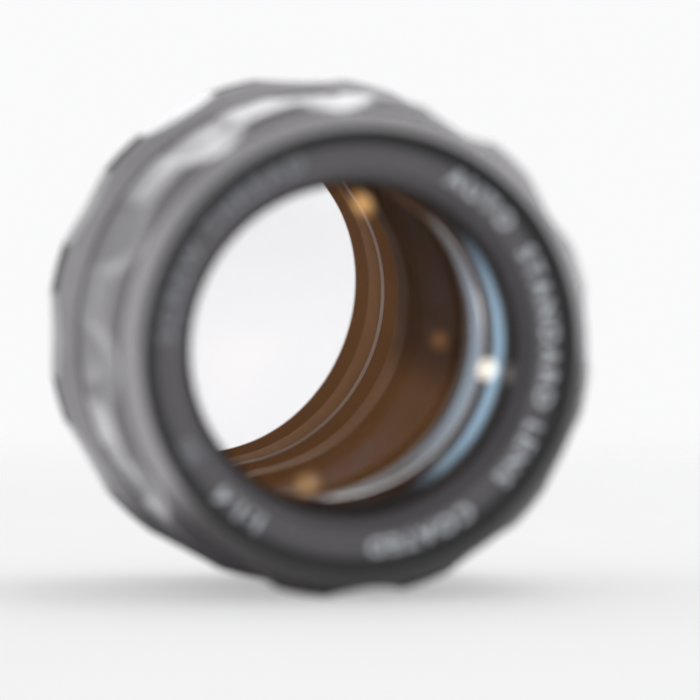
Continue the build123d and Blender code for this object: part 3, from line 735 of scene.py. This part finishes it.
def make_aperture_ring():
    """A fluted ring with a flared front, knurled pads between the hills and a plain band for the numbers."""
    first, last = APERTURE_LAND + 0.5, APERTURE_STEP - 0.6

    def at(inset):
        return fluted(APERTURE_HILL, APERTURE_VALLEY, inset, APERTURE_PHASE)

    def radius_at(y):
        base = at(0.0)

        def radius(a):
            r = base(a)
            off = ((a - APERTURE_PHASE) % PITCH) - PITCH / 2
            if abs(off) > PAD_HALF or not first < y < last:
                return r
            across = math.radians(off) * APERTURE_HILL / PAD_PITCH
            along = (y - first) / PAD_PITCH
            u = abs(((across + along) % 1) - 0.5) * 2
            v = abs(((across - along) % 1) - 0.5) * 2
            return r - PAD_DEPTH * (1 - min(u, v)) + 0.02
        return radius

    def flared(share):
        base = at(0.0)
        cone = APERTURE_MOUTH + (APERTURE_HILL - APERTURE_MOUTH) * share
        return lambda a: min(base(a), cone)

    outer = [(APERTURE_FRONT, lambda a: APERTURE_MOUTH - 0.1),
             (APERTURE_FRONT + 0.1, lambda a: APERTURE_MOUTH)]
    steps = 12
    for i in range(1, steps):
        t = i / steps
        outer.append((APERTURE_FRONT + 0.1 + (APERTURE_LAND - APERTURE_FRONT - 0.1) * t, flared(t)))
    outer.append((APERTURE_LAND, at(0.0)))
    rows = int((last - first) / PAD_PITCH * 4)
    stations = [first + (last - first) * i / rows for i in range(rows + 1)]
    outer += [(y, radius_at(y)) for y in stations]
    outer += [(APERTURE_STEP - 0.3, at(0.0)), (APERTURE_STEP - 0.1, at(0.1)), (APERTURE_STEP, at(0.3)),
              (APERTURE_STEP, lambda a: BAND_R), (APERTURE_REAR - 0.15, lambda a: BAND_R),
              (APERTURE_REAR, lambda a: BAND_R - 0.15)]
    inner = [(APERTURE_BORE, APERTURE_REAR), (APERTURE_BORE, APERTURE_FRONT)]
    ring = fluted_solid("aperture_ring_body", outer, inner, BLACK, flute_angles(4, 12, APERTURE_PHASE), 30.0)

    def on_pad(r, angle, y, along):
        off = abs((angle - APERTURE_PHASE) % PITCH - PITCH / 2)
        return off < PAD_HALF and first < y < last and r > 29

    repaint(ring, PAD, on_pad)
    return ring


STOPS = ["1.4", "2", "2.8", "4", "5.6", "8", "11", "16"]
# metres, and how far the ring has turned from infinity
DISTANCES = [("∞", 0), ("10", 26), ("5", 52), ("3", 82), ("2", 112), ("1.5", 138), ("1", 170), (".8", 190),
             (".6", 212), (".45", 238)]


def make_ring_marks():
    focus_at = focus_radius(-21.8)
    marks = []
    for words, turn in DISTANCES:
        points, faces = letters(words, 2.6)
        marks.append((points, faces, on_barrel(focus_at, TOP - turn, -22.9)))
        marks.append((*bar(0.22, 0.7), on_barrel(focus_at, TOP - turn, -20.95)))
    body(raised("distance_numerals", marks, PAINT), "focus", "engraved_black")
    points, faces = letters("m", 2.2)
    body(raised("distance_unit", [(points, faces, on_barrel(focus_at, TOP + 14, -22.9))], GREEN),
         "focus", "engraved_black")
    marks = []
    between_stops = APERTURE_TURN / (len(STOPS) - 1)
    for i, words in enumerate(STOPS):
        points, faces = letters(words, 2.2)
        marks.append((points, faces, on_barrel(lambda a: BAND_R, TOP - i * between_stops, -6.6)))
    body(raised("aperture_numerals", marks, PAINT), "aperture", "engraved_black")
    marks = []
    for turn in range(-28, 29, 7):
        marks.append((*bar(0.24, 1.1), on_barrel(lambda a: INDEX_R, TOP + turn, -19.6)))
    body(raised("depth_lines", marks, PAINT), "base", "engraved_black")
    marks = [(*dot(0.75), on_barrel(lambda a: 28.0, TOP, -2.4))]
    body(raised("mount_dot", marks, RED, 0.1), "base", "engraved_black")


def make_index_ring():
    profile = [(27.5, -19.9), (INDEX_R - 0.2, -19.9), (INDEX_R, -19.7), (INDEX_R, -18.5),
               (INDEX_R - 0.2, -18.3), (27.5, -18.3)]
    return lathe("index_ring_body", profile, BLACK, 256)


def make_mount_ring():
    depth, pitch = 0.55, 1.0
    thread = teeth(THREAD_R - depth, depth, 0.25, 3.95, pitch)
    profile = [(19.3, -1.3), (26.05, -1.3), (26.05, -0.15), (25.9, 0), (20.5, 0)] + thread
    profile += [(20.3, 4.3), (19.3, 4.3)]
    return lathe("mount_ring_body", profile, CHROME, 256)


def make_cells():
    """The barrels and spacers that hold the glass."""
    front = [(20.3, -37.5), (21.75, -38.8), (22.55, -38.8), (22.55, -20.9), (13.0, -20.9), (13.0, -21.23),
             (15.2, -21.23), (15.2, -25.99), (17.8, -25.99), (17.8, -29.15), (18.6, -29.15), (18.6, -34.5),
             (20.3, -34.5)]
    # the front cell in the brown that paints the amber reflection
    cell = lathe("front_cell_body", front, CELL_PAINTED_AMBER, 192)

    # faces that carry the painted blue reflection: a wall and a step of the front cell
    def painted_reflection_faces(r, angle, y, along):
        wall = 17.5 < r < 18.8 and along < 0.6
        step = 15 < r < 18 and along > 0.8 and y < -25
        return wall or step

    repaint(cell, BLUE_PAINTED_REFLECTION, painted_reflection_faces)
    body(cell, "head", "spacer_black", "front_cell")

    spacer = [(20.3, -35.08), (20.3, -34.5), (18.6, -34.5), (18.6, -29.2), (17.8, -29.2), (18.3, -35.08)]
    body(lathe("front_spacer_body", spacer, SPACER, 192), "head", "spacer_black", "front_spacer")

    rear = [(13.0, -16.3), (15.55, -16.3), (15.55, -16.45), (17.0, -16.45), (17.0, -15.3), (15.5, -15.3),
            (15.5, 7.3), (15.3, 7.6), (14.6, 7.6), (14.4, 7.4), (14.4, -4.2), (14.2, -4.2), (14.2, -15.42),
            (13.0, -15.42)]
    rear_cell = lathe("rear_cell_body", rear, BLACK, 192)
    # the inner wall takes the bore material, with its painted reflection and painted shade
    repaint(rear_cell, BORE_PAINTED_GLOW, lambda r, angle, y, along: r < 14.5)
    body(rear_cell, "head", "black_anodised", "rear_cell")

    before = [(13.5, -4.1), (14.4, -4.1), (14.4, -1.55), (13.5, -1.55)]
    # rear spacers in the bore material, with its painted reflection and painted shade
    body(lathe("rear_spacer_1_body", before, BORE_PAINTED_GLOW, 192), "head", "spacer_black", "rear_spacer_1")

    behind = [(13.3, 1.85), (13.45, 1.55), (14.4, 1.2), (14.4, 4.66), (13.3, 4.66)]
    last = lathe("rear_spacer_2_body", behind, BORE_PAINTED_GLOW, 192)
    # the front edge of the rear spacer gets the painted highlight
    repaint(last, RIM_PAINTED_HIGHLIGHT, lambda r, angle, y, along: y < 1.8 and r < 13.45)
    body(last, "head", "spacer_black", "rear_spacer_2")


body(make_bezel(), "head", "black_anodised", "front_bezel")
body(make_name_ring(), "head", "engraved_black", "name_ring")
body(make_name_text("name_ring_engraving", False, PAINT), "head", "engraved_black")
# the words in painted shade
body(make_name_text("name_ring_engraving_in_shade", True, PAINT_IN_SHADE), "head", "engraved_black")
body(make_focus_ring(), "focus", "black_anodised", "focus_ring")
body(make_aperture_ring(), "aperture", "black_anodised", "aperture_ring")
body(make_index_ring(), "base", "black_anodised", "index_ring")
body(make_mount_ring(), "base", "bright_mount", "mount_ring")
make_ring_marks()
make_cells()
for node, shape in ELEMENTS.items():
    make_element(node, *shape)

# ---- finishes of the CAD nodes that stay -----------------------------------------------------------------

SLOT_MATERIAL = {
    "black_anodised": BLACK, "engraved_black": NAME, "bright_mount": CHROME, "screw_steel": STEEL,
    "spring_steel": SPRING, "helicoid_brass": BRASS, "iris_steel": IRIS, "blade_steel": BLADE,
    "spacer_black": SPACER,
    "coated_glass": coated_glass("glass_plain", 1.5, GLASS_CLEAR, (1, 0.55, 0.25), 0.10),
}
# the iris plate takes the painted reflection, the retainer the bore's painted glow and shade
NODE_MATERIAL = {"rear_retainer": BORE_PAINTED_GLOW, "iris_plate": PLATE_PAINTED_SHEEN}
for part in frame["record"]["subparts"]:
    node = frame["nodes"][part["node"]]
    node.data.materials.clear()
    node.data.materials.append(NODE_MATERIAL.get(part["node"], SLOT_MATERIAL[part["material_slot"]]))


# ---- floor, light and camera -----------------------------------------------------------------------------

def ring_points(radius_at, station):
    return [polar(radius_at(a), a, station) for a in range(180, 361)]


def resting_plane():
    """Normal and a point of the table: level for the camera, touching both fluted rings."""
    right = camera_axes()[1].col[0].xyz
    level = right.cross(Vector((0, 1, 0))).normalized()
    along = level.cross(right).normalized()
    front = ring_points(fluted(FOCUS_HILL, FOCUS_VALLEY), FOCUS_LAND)
    rear = ring_points(fluted(APERTURE_HILL, APERTURE_VALLEY, 0.0, APERTURE_PHASE), APERTURE_FRONT + 0.3)

    def lowest(points, up):
        return min(points, key=lambda p: p.dot(up))

    low, high = 0.0, 0.3
    for _ in range(40):
        tilt = (low + high) / 2
        up = level * math.cos(tilt) + along * math.sin(tilt)
        if lowest(front, up).dot(up) > lowest(rear, up).dot(up):
            low = tilt
        else:
            high = tilt
    return up, lowest(rear, up)


def make_floor():
    """Pale paper that fades out into the bright surroundings away from the lens.

    It glows a little of its own, and shows brighter on the left in the reflections on the rings.
    """
    size = 1.6
    verts = [(-size, -size, 0), (size, -size, 0), (size, size, 0), (-size, size, 0)]
    mesh = bpy.data.meshes.new("floor")
    mesh.from_pydata(verts, [], [[0, 1, 2, 3]])
    m, nodes, links = new_material("floor_paper")
    out = nodes.new("ShaderNodeOutputMaterial")
    paper = nodes.new("ShaderNodeBsdfDiffuse")
    grain = noise(nodes, links, 40.0, 3.0)
    shade = mix_colors(nodes, links, grain, (0.41, 0.41, 0.412), (0.43, 0.43, 0.432))
    links.new(shade, paper.inputs["Color"])
    place = nodes.new("ShaderNodeNewGeometry").outputs["Position"]
    left = smooth(nodes, links, component(nodes, links, place, "X"), -0.024, -0.042, 0.05, 1.55)
    glossy = nodes.new("ShaderNodeLightPath").outputs["Is Glossy Ray"]
    glow = emission(nodes, links, (1.0, 1.0, 1.005), mix_values(nodes, links, glossy, 0.43, left))
    lit = add_shaders(nodes, links, paper.outputs["BSDF"], glow)
    coords = nodes.new("ShaderNodeTexCoord").outputs["Object"]
    fade = smooth(nodes, links, vector_math(nodes, links, "LENGTH", coords), 0.12, 0.55)
    clear = nodes.new("ShaderNodeBsdfTransparent").outputs["BSDF"]
    links.new(mix_shaders(nodes, links, fade, lit, clear), out.inputs["Surface"])
    mesh.materials.append(m)
    floor = bpy.data.objects.new("floor", mesh)
    bpy.context.scene.collection.objects.link(floor)
    up, spot = resting_plane()
    floor.matrix_world = Matrix.Translation(spot) @ up.to_track_quat("Z", "Y").to_matrix().to_4x4()


def make_key_light():
    """A soft box above and behind; the shiny faces don't mirror it."""
    data = bpy.data.lights.new("key_softbox", "AREA")
    data.shape = "RECTANGLE"
    data.size, data.size_y = 0.42, 0.25
    data.energy = 0.9
    light = bpy.data.objects.new("key_softbox", data)
    bpy.context.scene.collection.objects.link(light)
    light.location = (0.20, 0.02, 0.56)
    middle = Vector((0, -0.02, 0))
    light.rotation_euler = (middle - light.location).to_track_quat("-Z", "Y").to_euler()
    light.visible_glossy = False


def background(nodes, strength):
    node = nodes.new("ShaderNodeBackground")
    node.inputs["Color"].default_value = (0.992, 0.992, 1.0, 1)
    node.inputs["Strength"].default_value = strength
    return node


def make_world():
    """A white tent: plain pale backdrop for the camera, dimmer in front, with a brighter panel on the left.

    Reflections, but not what is seen through the glass, get a brighter tent, brightest at the rear right.
    """
    world = bpy.data.worlds.new("studio")
    bpy.context.scene.world = world
    world.use_nodes = True
    nodes, links = world.node_tree.nodes, world.node_tree.links
    nodes.clear()
    out = nodes.new("ShaderNodeOutputWorld")
    sky = nodes.new("ShaderNodeTexCoord").outputs["Generated"]
    path = nodes.new("ShaderNodeLightPath").outputs
    right, back = component(nodes, links, sky, "X"), component(nodes, links, sky, "Y")

    behind = smooth(nodes, links, back, 0.75, 0.93)
    mirrored = mix_values(nodes, links, behind, 1.62, smooth(nodes, links, right, -0.26, 0.06, 0.75, 3.0))
    reflected = scalar_math(nodes, links, "SUBTRACT", path["Is Glossy Ray"], path["Is Transmission Ray"],
                            clamp=True)
    gain = mix_values(nodes, links, reflected, 1.0, mirrored)
    tent = product(nodes, links, smooth(nodes, links, back, -0.9, 0.5, 0.60, 1.15), gain)

    facing = vector_math(nodes, links, "DOT_PRODUCT", sky, Vector((-0.93, 0.30, 0.20)).normalized())
    panel = product(nodes, links, smooth(nodes, links, facing, 0.70, 0.92, 0.0, 0.8), path["Is Glossy Ray"])

    around, backdrop = background(nodes, 1.0), background(nodes, 0.965)
    links.new(scalar_math(nodes, links, "ADD", tent, panel), around.inputs["Strength"])
    shown = mix_shaders(nodes, links, path["Is Camera Ray"], around.outputs["Background"],
                        backdrop.outputs["Background"])
    links.new(shown, out.inputs["Surface"])


def make_camera():
    away, turn = camera_axes()
    rim = Vector((0, FRONT, 0)) * MM
    shift = (turn.col[0].xyz * AIM_RIGHT + turn.col[1].xyz * AIM_UP) * MM
    data = bpy.data.cameras.new("camera")
    data.lens = LENS
    data.sensor_width = SENSOR
    data.clip_start, data.clip_end = 0.01, 20
    data.dof.use_dof = True
    data.dof.focus_distance = FOCUS_DISTANCE
    data.dof.aperture_fstop = F_STOP
    camera = bpy.data.objects.new("camera", data)
    bpy.context.scene.collection.objects.link(camera)
    camera.matrix_world = Matrix.Translation(rim + away * DISTANCE + shift) @ turn
    bpy.context.scene.camera = camera


make_floor()
make_world()
make_key_light()
make_camera()
bpy.context.scene.view_settings.view_transform = "Standard"
